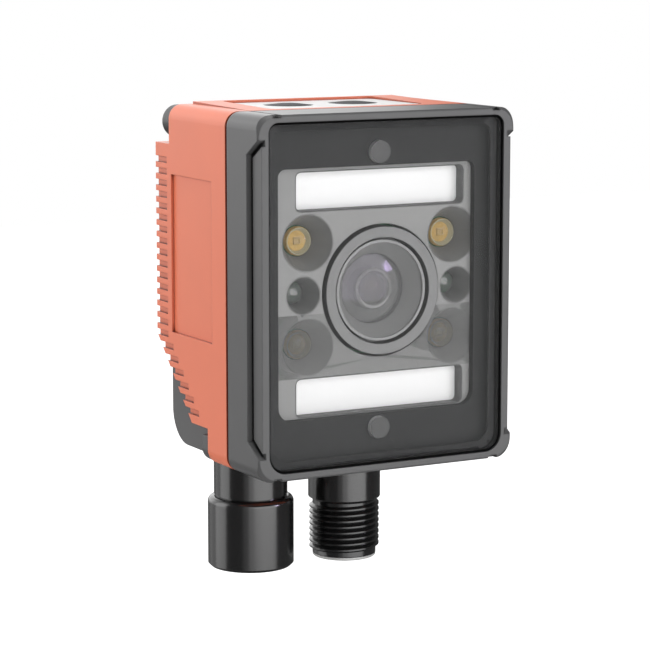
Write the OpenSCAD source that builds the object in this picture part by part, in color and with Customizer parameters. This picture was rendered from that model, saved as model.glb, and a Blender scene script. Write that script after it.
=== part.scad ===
// Fixed barcode reader: a glazed front housing with lights and a lens behind the pane, an orange
// finned cover that carries the heat away, a dark connector housing below it and two round connectors.
// Millimetres. The sub-parts are drawn from the middle of the front face, looking along +Y into the
// reader, and placed so that the origin lies in the middle of the rear bolt pattern, on the fin tips.

/* [Body] */
// Width across the corner bumpers
body_w = 47; // [43:0.1:52]
// Height of the body without the connectors
body_h = 58; // [53:0.1:64]
// Depth from the front face to the fin tips
body_d = 37.7; // [34:0.1:42]
// Radius of the four long corners
corner_r = 2.4; // [2:0.1:3]
// Radius of the front face's corners
bumper_r = 3.4; // [3:0.1:4]
// Depth of the front housing
front_d = 10.7; // [10.4:0.1:12]
// Chamfer round the front face
edge_c = 0.25; // [0.1:0.05:0.4]

/* [Front grooves] */
// How far the side strips lie below the corner bumpers
strip_drop = 0.7; // [0.4:0.05:0.9]
// Width of the shadow groove behind each strip
groove_w = 0.85; // [0.5:0.05:1.2]
// Depth of the shadow groove
groove_d = 0.6; // [0.3:0.05:0.8]
// Distance from the front face to the rear wall of the groove
groove_back = 3.9; // [3:0.1:5]
// Height of a corner bumper at the front edge
bumper_h = 3.8; // [3.2:0.1:5]
// How much each end of a side strip draws in towards its rear wall
strip_taper = 2.45; // [1.5:0.05:4]
// Distance of the notches from the sides
notch_side = 4.1; // [3.9:0.1:5]
// Width of a notch
notch_w = 1.4; // [0.8:0.1:1.6]
// Depth of a notch
notch_d = 0.5; // [0.3:0.05:0.6]
// Length of a notch behind the front face
notch_l = 1.2; // [0.6:0.1:2]
// Width of the line that runs back from each notch
line_w = 0.45; // [0.3:0.05:0.6]
// Depth of that line
line_d = 0.3; // [0.15:0.05:0.4]

/* [Window] */
// Width of the frame beside the window
rim_w = 1.95; // [1.85:0.05:2.3]
// Height of the frame above and below the window
rim_h = 1.2; // [1.1:0.05:1.5]
// Radius of the upper window corners
window_rt = 1.7; // [1.2:0.1:2.5]
// Radius of the lower window corners
window_rb = 3; // [2.5:0.1:4]
// How far the pane lies behind the front face
pane_inset = 0.35; // [0.1:0.05:0.6]
// Thickness of the pane
pane_t = 1.3; // [1:0.1:2]
// Gap between the pane and the opening
pane_gap = 0.4; // [0.2:0.05:0.6]
// Distance between the pane and the shield, which the gasket keeps
gasket_t = 1.85; // [1:0.05:2.5]
// Width of the gasket face that masks the edge of the pane
gasket_w = 1.3; // [0.9:0.05:1.6]
// Thickness of that face
gasket_face = 0.25; // [0.15:0.05:0.5]
// Width of the gasket's outer leg
gasket_leg = 0.4; // [0.3:0.05:0.6]
// Clearance of the gasket and the shield in the opening
seat_gap = 0.2; // [0.1:0.05:0.3]

/* [Light shield] */
// Thickness of the dark shield
shield_t = 1.2; // [0.8:0.1:1.8]
// Width of the shield beside its opening
shield_side = 3.4; // [2.8:0.1:4]
// Height of the shield above and below its opening
shield_end = 7.65; // [7.2:0.05:8]
// Radius of its upper corners
shield_rt = 1.3; // [0.8:0.1:2]
// Radius of its lower corners
shield_rb = 2.3; // [1:0.1:3]
// Distance of each pin from the shield opening
pin_out = 2.25; // [2.1:0.05:2.8]
// Radius of a pin head
pin_head_r = 1.8; // [1.5:0.1:2]
// Height of a pin head
pin_head_h = 0.8; // [0.4:0.1:1.2]
// Radius of a pin shank
pin_r = 0.9; // [0.6:0.05:1]

/* [Light plate] */
// Sideways offset of the optical axis
optics_x = 1.2; // [0:0.1:1.3]
// Height of the optical axis
optics_z = -0.25; // [-0.4:0.05:0.3]
// Step from the housing cavity to the plate front, sideways
plate_step_w = 1.3; // [1.2:0.1:1.5]
// Step from the housing cavity to the plate front, upright
plate_step_h = 1.6; // [1.5:0.1:2]
// Thickness of the plate
plate_t = 4; // [3.6:0.1:4.6]
// Thickness of the housing shoulder round the plate
shoulder_t = 1.3; // [0.8:0.1:1.8]
// Distance of the light bars from the sides of the shield opening
bar_side = 2.55; // [2.2:0.05:4]
// Height of a light bar
bar_h = 6.4; // [5:0.1:6.5]
// Distance of the light bars from the ends of the shield opening
bar_end = 3.55; // [3.2:0.05:3.55]
// How deep the diffusers lie below the plate front
bar_sink = 2; // [1:0.1:2.5]
// Corner radius of the bars
bar_r = 1; // [0.5:0.1:1.5]
// Plate left beside the round light pockets
led_edge = 0.8; // [0.5:0.05:0.8]
// Height of the round light pockets
led_z = 8.4; // [8.3:0.05:8.45]
// Radius of a round light pocket
led_r = 4.6; // [4.2:0.05:4.6]
// Wall of a light cup at its emitter
cup_wall = 2.1; // [2:0.05:2.6]
// Height of a light emitter dome
dome_h = 1.4; // [1:0.1:2]
// Plate left beside the aiming pockets
aim_edge = 1.55; // [1.4:0.05:1.6]
// Radius of an aiming pocket
aim_r = 3.05; // [2.95:0.05:3.1]
// Rim of the dark cups that line the pockets
cup_t = 0.12; // [0.1:0.02:0.4]
// Clearance of the pieces let into the plate
fit_gap = 0.05; // [0.03:0.01:0.08]
// Thickness of the polarizing film
film_t = 0.3; // [0.2:0.05:0.4]
// Top edge of the film below the axis
film_top = 3.1; // [2.5:0.1:4]
// Height of the film
film_h = 10.2; // [9.4:0.1:10.2]

/* [Lens] */
// Plate left between the lens hole and the aiming pockets
aim_gap = 0.3; // [0.2:0.05:0.5]
// Gap between the ring and the plate
ring_gap = 0.45; // [0.3:0.05:0.5]
// How far the ring stands out of the plate
ring_proud = 0.7; // [0.4:0.1:1]
// Wall of the lens ring
ring_t = 1.7; // [1.5:0.05:1.9]
// Step from the ring to the holder tube
tube_step = 0.8; // [0.7:0.05:1]
// Gap between the lens ring and the barrel rim
rim_gap = 0.45; // [0.3:0.05:0.6]
// Width of the barrel rim
barrel_rim = 0.45; // [0.35:0.05:0.7]
// Width of the dark cone seen from the front
cone_w = 2.1; // [1.8:0.05:2.6]
// Depth of the cone from its mouth to the glass
cone_d = 2.6; // [2:0.1:3.5]
// Bulge of the front glass
glass_bulge = 0.9; // [0.4:0.1:1.2]
// Width of the aperture plate
stop_w = 3.1; // [2.4:0.1:3.4]

/* [Boards] */
// Thickness of the circuit boards
board_t = 1.2; // [1:0.1:1.4]
// Gap between the boards and the connector housing
board_gap = 0.3; // [0.2:0.05:0.5]
// Height of the lower edge of these boards above the bottom
board_low = 11.5; // [11.2:0.1:12.5]
// Distance of their upper edge from the top
board_top = 7.5; // [7:0.1:8.5]
// Height of the pad seat on the cover
seat_h = 2; // [1.6:0.1:2.4]
// Length of the spacers behind the sensor board
rear_spacer_l = 5.2; // [4.6:0.1:5.6]
// Distance of the spacers from the board sides
spacer_side = 2.4; // [2.4:0.05:2.6]
// Distance of the upper spacers from the board edge
spacer_top = 4; // [3.5:0.1:4.5]
// Distance of the lower spacers from the board edge
spacer_low = 3.5; // [3.1:0.1:4]
// Width across flats of the spacers
spacer_af = 4; // [3.6:0.1:4.4]
// Radius of the board studs and screws
stud_r = 1; // [0.8:0.05:1.1]
// Width of the processor
chip_w = 14; // [10:0.5:15]
// Height of the processor above its board
chip_h = 1.8; // [1.2:0.1:2]
// Thickness of the heat pad
pad_t = 0.8; // [0.5:0.1:1]

/* [Cover] */
// Thickness of the seal between the housing and the cover
seal_t = 0.65; // [0.4:0.05:0.8]
// How far the seal lies inside the outline
seal_inset = 0.4; // [0.2:0.05:0.6]
// Side wall of the cover
cover_wall = 2.1; // [2:0.05:2.3]
// Roof and floor thickness of the cover
roof_t = 1.8; // [1.6:0.05:1.9]
// Wall behind the fin tips
fin_base = 4; // [3.6:0.1:4.4]
// How far the fin block stands behind the roof
ledge_d = 5.55; // [4.5:0.05:5.7]
// Distance of the fin block's ledge below the top
ledge_drop = 6.5; // [6.3:0.1:6.8]
// Height of the slanted cheeks
cheek_rise = 13.7; // [13.4:0.1:14.2]
// Height of their lower end above the bottom
cheek_up = 5.9; // [5.7:0.1:6.4]
// How far the lower ring ends before the middle of the cover's depth
ring_mid = 5.5; // [5.2:0.05:5.7]
// Depth from the lower end of the cheeks to the ring's rear edge
ring_back = 5.95; // [5.8:0.05:6.2]
// Radius of the fin block's upright edges
fin_edge_r = 0.4; // [0.2:0.1:0.8]
// Number of fin slots
slot_n = 22; // [8:1:22]
// Distance of the first slot below the ledge
slot_drop = 2.75; // [2.4:0.05:3]
// Distance of the last slot above the lower end of the cheeks
slot_up = 1.9; // [1.5:0.05:2.4]
// Width of a slot
slot_h = 1; // [0.6:0.05:1.2]
// Length of a slot on the side
slot_l = 4.6; // [3:0.1:5]
// Depth of a slot on the side
slot_d = 0.45; // [0.2:0.05:0.8]
// Depth of the gaps between the fins at the back
fin_gap_d = 1.6; // [0.8:0.1:2]
// Depth of the plain side panels
label_d = 0.45; // [0.3:0.05:0.8]
// Distance of the side panels behind the cover's front edge
label_front = 5.05; // [3:0.05:6]
// Distance of the side panels before the roof's rear edge
label_rear = 0.65; // [0.6:0.05:3]
// Distance of the side panels above the slant
label_up = 0.5; // [0.2:0.1:3]
// Distance of the side panels below the ledge
label_drop = 5; // [3:0.1:8]
// Distance of the cover screws from the sides
screw_side = 3.3; // [3.2:0.05:3.6]
// Distance of the cover screws from the top
screw_top = 3; // [3:0.05:3.4]
// Radius of the cover screws
screw_r = 1.5; // [1.4:0.05:1.5]
// Head radius of the cover screws
screw_head_r = 2.75; // [2.5:0.05:2.75]
// Head height of the cover screws
screw_head_h = 3.7; // [2.8:0.1:3.8]

/* [Rear bolt pattern] */
// Sideways distance of the bolt holes
mount_w = 20; // [18:0.5:22]
// Upright distance of the bolt holes
mount_h = 20; // [18:0.5:20]
// Radius of a bolt hole
mount_r = 1.25; // [1:0.05:1.6]
// Depth of a bolt hole
mount_depth = 6; // [4.5:0.1:6.2]
// Radius of the bosses round the bolt holes
mount_boss_r = 3.2; // [2.8:0.1:3.4]

/* [Top panel] */
// Distance of the crown from the sides; it rises towards the back of the roof
crown_side = 4.45; // [4:0.05:5.5]
// Height of the crown at the back
crown_h = 0.38; // [0.2:0.02:0.6]
// Distance of the top panel from the sides of the crown
panel_side = 4.75; // [4:0.05:6]
// Distance of the top panel behind the cover's front edge
panel_front = 1.85; // [1.4:0.05:2.6]
// Distance of the top panel before the roof's rear edge
panel_rear = 0.95; // [0.7:0.05:2]
// How far the panel lies below the front of the roof
panel_sink = 0.08; // [0.02:0.02:0.3]
// Thickness of the panel film
panel_t = 0.3; // [0.2:0.05:0.4]
// Sideways place of the status lenses
status_x = 6.1; // [5.8:0.1:7]
// Distance of the status lenses behind the middle of the panel
status_back = 0.6; // [0:0.1:1]
// Radius of the status lenses
status_r = 4.05; // [3.5:0.05:4.2]
// How far a status lens lies below the panel
status_sink = 0.1; // [0.05:0.05:0.3]

/* [Connector housing] */
// Clearance between the connector housing and the cover
tray_gap = 0.1; // [0.05:0.05:0.2]
// Distance of its rear face before the fin tips
tray_back = 1.55; // [1.2:0.05:2]
// Height of its bottom face above the bottom of the cover
tray_up = 0.85; // [0.7:0.05:1.2]
// Radius of its lower rear edge
tray_r = 5.7; // [4:0.1:6]
// Floor and rear wall thickness
tray_t = 2.5; // [2.2:0.1:2.8]
// Side wall thickness
tray_side_t = 1.8; // [1.4:0.1:2]
// Depth of its lower lip
lip_d = 2.25; // [1.6:0.05:3]
// How far the lip lies inside the outline
lip_inset = 0.12; // [0.05:0.01:0.4]
// Gap between the lip and the cheeks above it
lip_drop = 1.3; // [0.4:0.1:2]
// Radius of the tongue screws
tongue_r = 1; // [0.8:0.05:1.2]

/* [Connectors] */
// Distance of the socket's axis from the inner side of the housing
socket_in = 7.25; // [6.9:0.05:7.5]
// Distance between the connectors
conn_pitch = 18; // [17.8:0.1:18.2]
// How far both connectors stand before the middle of their housing
conn_mid = 2.2; // [1.9:0.05:2.2]
// Reach of the socket below the housing
socket_reach = 20.35; // [19.5:0.05:24]
// Reach of the plug below the housing
plug_reach = 20.75; // [20:0.05:24]
// Radius of the connector necks
neck_r = 6.2; // [6.1:0.05:6.3]
// Radius of the stub through the housing floor
stub_r = 5.4; // [5.2:0.05:5.6]
// Outer radius of the socket shell
shell_r = 7.25; // [6.8:0.05:7.5]
// Length of the socket shell
shell_l = 11; // [10:0.1:12.5]
// Rounding of the shell's upper edge
shell_round = 1; // [0.6:0.1:1]
// Radius of the socket bore
socket_r = 5.5; // [5.4:0.05:5.7]
// Depth of the socket bore
socket_depth = 9.5; // [8:0.1:10]
// Radius of the plug thread
thread_r = 6; // [5.9:0.05:6]
// Length of the plug thread
thread_l = 8.1; // [7:0.1:8.3]
// Radius of the rim below the thread
rim_end_r = 5.45; // [5.3:0.05:5.6]
// Radius of the plug cup
cup_r = 4.9; // [4.6:0.05:5]
// Depth of the plug cup
cup_depth = 8; // [7:0.1:9]
// Radius of the socket insert
insert_r = 4.2; // [4:0.05:4.3]
// Contacts round the middle one
contact_n = 7; // [4:1:7]
// Radius of the contact circle
contact_pcr = 2.7; // [2.2:0.1:2.8]
// Radius of a contact
contact_r = 0.45; // [0.3:0.05:0.5]

/* [Hidden] */
$fn = 64;
// A small overlap that lets cutters run past the faces that they cut
past = 1;
// Radial clearance of studs and screws in their holes
hole_gap = 0.1;
// Window, shield and light plate inside the body
window_w = body_w - 2*rim_w;
window_h = body_h - 2*rim_h;
shield_open_w = window_w - 2*shield_side;
shield_open_h = window_h - 2*shield_end;
pin_z = shield_open_h/2 + pin_out;
cavity_in = 0.25;
cavity_end = 0.7;
cavity_w = window_w - 2*cavity_in;
cavity_h = window_h - 2*cavity_end;
cavity_r = 2.5;
plate_w = cavity_w - 2*plate_step_w;
plate_h = cavity_h - 2*plate_step_h;
// Lights and lens on the plate; the bars and the lens hole keep clear of the round pockets
pocket_gap = 0.4;
bar_w = shield_open_w - 2*bar_side;
bar_z = max(led_z + led_r + pocket_gap + bar_h/2, shield_open_h/2 - bar_end);
led_x = plate_w/2 - optics_x - led_edge - led_r;
dome_r = led_r - cup_wall;
aim_x = plate_w/2 - optics_x - aim_edge - aim_r;
aim_wall = 1.35;
ring_hole_r = min(aim_x - aim_r - aim_gap, bar_z - bar_h/2 - pocket_gap);
ring_r = ring_hole_r - ring_gap;
ring_in_r = ring_r - ring_t;
tube_r = ring_r - tube_step;
rim_r = ring_in_r - rim_gap;
cone_r = rim_r - barrel_rim;
glass_r = cone_r - cone_w;
stop_r = glass_r - stop_w;
// Depths behind the front face, from the pane to the board behind the lights
pane_y1 = pane_inset + pane_t;
shield_y0 = pane_y1 + gasket_t;
plate_y0 = shield_y0 + shield_t;
shoulder_y1 = plate_y0 + shoulder_t;
plate_y1 = plate_y0 + plate_t;
light_board_y1 = plate_y1 + board_t;
// The rear flange of the light plate in the housing's cavity
flange_gap = 0.3;
// How far the front spacers' studs reach into the light plate
stud_seat = 1;
shoulder_gap = 0.2;
// Corner screws between the cover and the front housing
screw_x = body_w/2 - screw_side;
screw_z = body_h/2 - screw_top;
boss_r = 2.8;
column_r = 2.9;
screw_gap = 0.05;
screw_reach = 4.5;
screw_end = 0.5;
// The cover, from its front edge to the fin tips
cover_y0 = front_d + seal_t;
top_rear_y = body_d - ledge_d;
wall_in = 2;
roof_z = body_h/2 - roof_t;
floor_z = -body_h/2 + roof_t;
fin_in_y = body_d - fin_base;
cheek_x = body_w/2 - cover_wall;
ledge_z = body_h/2 - ledge_drop;
cheek_z = cheek_up - body_h/2;
slant_z = cheek_z + cheek_rise;
tray_y1 = body_d - tray_back;
ring_y1 = (cover_y0 + tray_y1)/2 - ring_mid;
cheek_y = ring_y1 + ring_back;
ring_l = ring_y1 - cover_y0;
mount_z = (ledge_z + slant_z)/2;
slot_z = ledge_z - slot_drop;
slot_pitch = (slot_z - cheek_z - slot_up)/(slot_n - 1);
label_y0 = cover_y0 + label_front;
label_y1 = top_rear_y - label_rear;
label_z0 = slant_z + label_up;
label_z1 = ledge_z - label_drop;
// Boards, set from the pad seat on the cover forwards
pad_y1 = fin_in_y - seat_h;
chip_y1 = pad_y1 - pad_t;
main_y1 = chip_y1 - chip_h;
main_y0 = main_y1 - board_t;
sensor_y1 = main_y0 - rear_spacer_l;
sensor_y0 = sensor_y1 - board_t;
// Hooks that hold the lower edge of the cover
hook_w = 5;
hook_x = 9;
hook_t = 1.4;
hook_room = 0.2;
hook_max = 4;
hook_l = min(hook_max, ring_l - hook_t + hook_room);
hook_barb = 0.5;
hook_gap = 0.1;
// Status lenses and their board
crown_w = body_w - 2*crown_side;
panel_w = crown_w - 2*panel_side;
panel_y0 = cover_y0 + panel_front;
panel_y1 = top_rear_y - panel_rear;
panel_r = 1.4;
panel_z = body_h/2 - panel_sink;
status_y = (panel_y0 + panel_y1)/2 + status_back;
status_flange = 0.9;
status_gap = 0.12;
status_hole_r = status_r + status_gap;
status_foot = 1.9;
status_foot_z = roof_z - status_foot;
status_rim = 0.4;
status_pit_r = 2.2;
status_pit_h = 1.2;
status_board_t = 1;
// The connector housing, the boards between its sides and what stands in its floor
tray_x = cheek_x - tray_gap;
tray_in_x = tray_x - tray_side_t;
tray_y0 = ring_y1 + tray_gap;
tray_z0 = tray_up - body_h/2;
tray_in_z = tray_z0 + tray_t;
lip_y1 = tray_y0 + lip_d;
tongue_side = 1.5;
tongue_x = tray_in_x - tongue_side;
tongue_y = (cover_y0 + ring_y1)/2;
tongue_front = 1.3;
tongue_l = ring_l - tongue_front;
tongue_rim = 0.6;
tongue_screw_r = min(tongue_r, (ring_l - 2*tongue_rim)/4);
tongue_w = 4.8;
tongue_h = 3.6;
tongue_roof = 0.6;
tongue_root = 1;
board_w = 2*(tray_in_x - board_gap);
board_z0 = board_low - body_h/2;
board_z1 = body_h/2 - board_top;
spacer_x = board_w/2 - spacer_side;
spacer_z0 = board_z0 + spacer_low;
spacer_z1 = board_z1 - spacer_top;
socket_x = socket_in - tray_in_x;
plug_x = socket_x + conn_pitch;
conn_y = (ring_y1 + tray_y1)/2 - conn_mid;
socket_z0 = tray_z0 - socket_reach;
plug_z0 = tray_z0 - plug_reach;
stub_end = 3.2;
stub_l = tray_t + stub_end;
nut_h = 2.6;
nut_af = 13.2;
seal_cord = 0.6;
insert_rise = 3.6;
insert_top = tray_in_z + insert_rise;
tail_rise = 4.6;
tail_z = tray_in_z + tail_rise;
conn_board_t = 0.8;
tail_w = 14;
tail_t = 0.4;
tail_lap = 6;
// How far the inserts and the contacts lie inside the mouths
insert_sink = 1.2;
contact_sink = 0.6;
pin_pitch = 360/contact_n;

// Everything is drawn from the front face and set on the rear bolt pattern here
module placed() {
    translate([0, -body_d, -mount_z]) children();
}

// Front outline of a plate with one radius for its upper and one for its lower corners
module plate2d(w, h, rt, rb) {
    translate([-w/2, -h/2 + rb]) square([w, h - rt - rb]);
    translate([-w/2 + rt, 0]) square([w - 2*rt, h/2]);
    translate([-w/2 + rb, -h/2]) square([w - 2*rb, h/2]);
    for (s = [-1, 1]) {
        translate([s*(w/2 - rt), h/2 - rt]) circle(r = rt);
        translate([s*(w/2 - rb), -h/2 + rb]) circle(r = rb);
    }
}

// A front outline, extruded between two depths
module slab(y0, y1) {
    translate([0, y1, 0]) rotate([90, 0, 0]) linear_extrude(y1 - y0) children();
}

// A side outline in depth and height, extruded across the reader
module across(w) {
    rotate([90, 0, 90]) linear_extrude(w, center = true) children();
}

// A round rod along the depth
module rod(x, z, y0, y1, r) {
    translate([x, y0, z]) rotate([-90, 0, 0]) cylinder(h = y1 - y0, r = r);
}

// An upright round rod
module post(x, y, z0, z1, r) {
    translate([x, y, z0]) cylinder(h = z1 - z0, r = r);
}

// A box between two corners
module box(a, b) {
    translate(a) cube(b - a);
}

// A turned piece on an axis along the depth, from a profile of radius and depth
module turned(x, z) {
    translate([x, 0, z]) rotate([-90, 0, 0]) rotate_extrude() children();
}

// What the front edge loses: a chamfer along each straight side and a cone at each corner
module front_edges() {
    hw = body_w/2;
    hh = body_h/2;
    cx = hw - bumper_r;
    cz = hh - bumper_r;
    for (s = [-1, 1]) {
        linear_extrude(2*cz, center = true)
            polygon([[s*(hw - edge_c - past), -past], [s*(hw + past), -past], [s*(hw + past), edge_c + past]]);
        across(2*cx)
            polygon([[-past, s*(hh - edge_c - past)], [-past, s*(hh + past)], [edge_c + past, s*(hh + past)]]);
    }
    for (sx = [-1, 1], sz = [-1, 1])
        translate([sx*cx, 0, sz*cz]) difference() {
            box([min(0, sx*2*bumper_r), -past, min(0, sz*2*bumper_r)],
                [max(0, sx*2*bumper_r), past, max(0, sz*2*bumper_r)]);
            translate([0, -past, 0]) rotate([-90, 0, 0])
                cylinder(h = 2*past, r1 = bumper_r - edge_c - past, r2 = bumper_r - edge_c + past);
        }
}

// A side strip: it narrows from its mouth at the front edge to its rear wall
strip_slope = strip_taper/groove_back;
function strip(m, back) = [[-past, m + past*strip_slope], [back, m - back*strip_slope],
    [back, back*strip_slope - m], [-past, -m - past*strip_slope]];

// The groove round a side strip
module strip_groove(m) {
    difference() {
        polygon(strip(m, groove_back));
        polygon(strip(m - groove_w*sqrt(1 + strip_slope*strip_slope), groove_back - groove_w));
    }
}

// The four corner places of a rectangle
module at_corners(x, z0, z1) {
    for (s = [-1, 1], z = [z0, z1])
        translate([s*x, 0, z]) children();
}

// The cover screws' axes
module at_screws() {
    for (s = [-1, 1])
        translate([s*screw_x, 0, screw_z]) children();
}

// The round light pockets, the aiming pockets and the light bars, from the optical axis
module at_leds() {
    at_corners(led_x, -led_z, led_z) children();
}
module at_aims() {
    for (s = [-1, 1])
        translate([s*aim_x, 0, 0]) children();
}
module on_axis() {
    translate([optics_x, 0, optics_z]) children();
}

// One light bar's outline, at its height
module bar2d(side, grow) {
    translate([0, side*bar_z]) plate2d(bar_w + 2*grow, bar_h + 2*grow, bar_r, bar_r);
}

module front_housing() {
    side_m = body_h/2 - bumper_h;
    notch_x = body_w/2 - notch_side;
    color("dimgray") placed() {
        difference() {
            slab(0, front_d) plate2d(body_w, body_h, corner_r, corner_r);
            front_edges();
            slab(-past, plate_y0) plate2d(window_w, window_h, window_rt, window_rb);
            slab(plate_y0 - past, shoulder_y1 + past)
                plate2d(plate_w + 2*shoulder_gap, plate_h + 2*shoulder_gap, cavity_r, cavity_r);
            difference() {
                slab(shoulder_y1, front_d + past) plate2d(cavity_w, cavity_h, cavity_r, cavity_r);
                at_screws() rod(0, 0, shoulder_y1 - past, front_d + 2*past, boss_r);
            }
            at_screws() rod(0, 0, front_d - screw_reach - screw_end, front_d + past, screw_r + screw_gap);
            for (s = [-1, 1]) {
                translate([s*body_w/2, 0, 0]) {
                    across(2*strip_drop) polygon(strip(side_m, groove_back));
                    across(2*(strip_drop + groove_d)) strip_groove(side_m);
                }
                for (sz = [-1, 1]) {
                    translate([s*(notch_x + notch_w/2), 0, sz*body_h/2])
                        box([-notch_w/2, -past, -notch_d], [notch_w/2, notch_l, notch_d]);
                    translate([s*notch_x, 0, sz*body_h/2])
                        box([-line_w/2, -past, -line_d], [line_w/2, front_d + past, line_d]);
                }
            }
        }
        for (s = [-1, 1])
            translate([s*hook_x, 0, floor_z + hook_gap]) {
                box([-hook_w/2, front_d - hook_l, 0], [hook_w/2, front_d + hook_l, hook_t]);
                box([-hook_w/2, front_d + hook_l - hook_t, -hook_barb], [hook_w/2, front_d + hook_l, hook_t]);
            }
    }
}

module window_pane() {
    w = window_w - 2*pane_gap;
    h = window_h - 2*pane_gap;
    color([0.8, 0.85, 0.87, 0.25]) placed()
        slab(pane_inset, pane_y1) plate2d(w, h, window_rt - pane_gap, window_rb - pane_gap);
}

// A flat ring inside the window opening, of a given width
module gasket2d(width) {
    w = window_w - 2*seat_gap;
    h = window_h - 2*seat_gap;
    difference() {
        plate2d(w, h, window_rt - seat_gap, window_rb - seat_gap);
        plate2d(w - 2*width, h - 2*width, window_rt - seat_gap, window_rb - seat_gap);
    }
}

// A face against the pane, which masks its edge, and a leg down to the shield
module window_gasket() {
    color("black") placed() {
        slab(pane_y1, pane_y1 + gasket_face) gasket2d(gasket_w);
        slab(pane_y1, shield_y0) gasket2d(gasket_leg);
    }
}

module light_shield() {
    w = window_w - 2*seat_gap;
    h = window_h - 2*seat_gap;
    color([0.2, 0.2, 0.2]) placed()
        slab(shield_y0, plate_y0) difference() {
            plate2d(w, h, window_rt - seat_gap, window_rb - seat_gap);
            plate2d(shield_open_w, shield_open_h, shield_rt, shield_rb);
            for (s = [-1, 1])
                translate([0, s*pin_z]) circle(r = pin_r + fit_gap);
        }
}

module shield_pins() {
    color("gray") placed()
        for (s = [-1, 1]) {
            rod(0, s*pin_z, shield_y0 - pin_head_h, shield_y0, pin_head_r);
            rod(0, s*pin_z, shield_y0, plate_y0 + plate_t/2, pin_r);
        }
}

// The flange outline of the light plate and its board, clear of the corner bosses
module flange2d() {
    difference() {
        plate2d(cavity_w - 2*flange_gap, cavity_h - 2*flange_gap, cavity_r, cavity_r);
        for (s = [-1, 1])
            translate([s*screw_x, screw_z]) circle(r = boss_r + flange_gap);
        for (s = [-1, 1])
            translate([s*hook_x - hook_w/2 - flange_gap, -window_h/2])
                square([hook_w + 2*flange_gap, window_h/2 + floor_z + hook_t + hook_gap + flange_gap]);
    }
}

// Holes for the studs of the front spacers
module stud_holes() {
    at_corners(spacer_x, spacer_z0, spacer_z1)
        rod(0, 0, plate_y1 - stud_seat - hole_gap, light_board_y1 + past, stud_r + hole_gap);
}

module light_plate() {
    color("silver") placed() difference() {
        union() {
            slab(plate_y0, plate_y1) plate2d(plate_w, plate_h, cavity_r, cavity_r);
            slab(shoulder_y1, plate_y1) flange2d();
        }
        on_axis() {
            rod(0, 0, plate_y0 - past, plate_y1 + past, ring_hole_r);
            at_leds() rod(0, 0, plate_y0 - past, plate_y1 + past, led_r + fit_gap);
            at_aims() rod(0, 0, plate_y0 - past, plate_y1 + past, aim_r + fit_gap);
            for (s = [-1, 1])
                slab(plate_y0 - past, plate_y1 + past) bar2d(s, fit_gap);
        }
        for (s = [-1, 1])
            rod(0, s*pin_z, plate_y0 - past, plate_y0 + plate_t/2 + hole_gap, pin_r + fit_gap);
        at_screws() rod(0, 0, shoulder_y1 - flange_gap, plate_y1 + past, boss_r + flange_gap);
        stud_holes();
    }
}

// A dark cup with a flared mouth, let into the light plate
module flared_cup(r, throat_r) {
    turned(0, 0) polygon([[throat_r, plate_y1], [r, plate_y1], [r, plate_y0], [r - cup_t, plate_y0]]);
}

module light_cups() {
    color("gray") placed() on_axis() at_leds() flared_cup(led_r, dome_r + fit_gap);
}

module aiming_cups() {
    color("gray") placed() on_axis() at_aims() flared_cup(aim_r, aim_r - aim_wall + fit_gap);
}

// A lens dome on a short foot, standing on the board behind the light plate
dome_foot = 0.6;
module dome(r, h, foot) {
    ball_r = (r*r + h*h)/(2*h);
    tip_y = plate_y1 - foot - h;
    intersection() {
        translate([0, tip_y + ball_r, 0]) sphere(r = ball_r);
        rod(0, 0, tip_y - past, plate_y1, r);
    }
}

module light_domes() {
    color("goldenrod") placed() on_axis() at_leds() dome(dome_r, dome_h, dome_foot);
}

module aiming_lenses() {
    color("lightblue") placed() on_axis() at_aims() dome(aim_r - aim_wall, dome_h/2, dome_foot);
}

// A diffuser bar, hollow over its emitters, with its edge resting on the board behind it
bar_hollow = 1;
bar_wall = 1.2;
module light_bar(side) {
    color("white") placed() difference() {
        on_axis() difference() {
            slab(plate_y0 + bar_sink, plate_y1) bar2d(side, 0);
            slab(plate_y1 - bar_hollow, plate_y1 + past) bar2d(side, -bar_wall);
        }
        stud_holes();
    }
}
module upper_light_bar() {
    light_bar(1);
}
module lower_light_bar() {
    light_bar(-1);
}

module bar_emitters() {
    emitter_w = 2;
    emitter_h = 0.7;
    emitter_n = 6;
    end = 2.5;
    step = (bar_w - 2*end)/(emitter_n - 1);
    color("ivory") placed() on_axis()
        for (s = [-1, 1], i = [0:emitter_n - 1])
            translate([end - bar_w/2 + i*step, 0, s*bar_z])
                box([-emitter_w/2, plate_y1 - emitter_h, -emitter_w/2], [emitter_w/2, plate_y1, emitter_w/2]);
}

module polarizing_film() {
    w = shield_open_w - 2*seat_gap;
    color([0.5, 0.5, 0.5, 0.5]) placed() difference() {
        box([-w/2, plate_y0 - film_t, optics_z - film_top - film_h], [w/2, plate_y0, optics_z - film_top]);
        on_axis() rod(0, 0, plate_y0 - film_t - past, plate_y0 + past, ring_hole_r);
    }
}

module light_board() {
    color("darkgreen") placed() difference() {
        slab(plate_y1, light_board_y1) flange2d();
        on_axis() rod(0, 0, plate_y1 - past, light_board_y1 + past, tube_r + hole_gap);
        stud_holes();
    }
}

// Lens: a holder with a front ring, a barrel screwed into it, and the glass
ring_y0 = plate_y0 - ring_proud;
rim_sink = 0.5;
rim_y0 = ring_y0 + rim_sink;
rim_t = 0.4;
cone_y0 = rim_y0 + rim_t;
glass_y0 = cone_y0 + cone_d;
glass_edge = 1.2;
sensor_room = 3.4;
barrel_y1 = sensor_y0 - sensor_room;
barrel_lip = 1;
stop_t = 0.6;
stop_gap = 1.4;
stop_y0 = glass_y0 + glass_edge + stop_gap;
rear_glass_t = 2.2;
rear_glass_y1 = barrel_y1 - barrel_lip;
rear_step = 0.9;
exit_step = 1.4;

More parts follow.
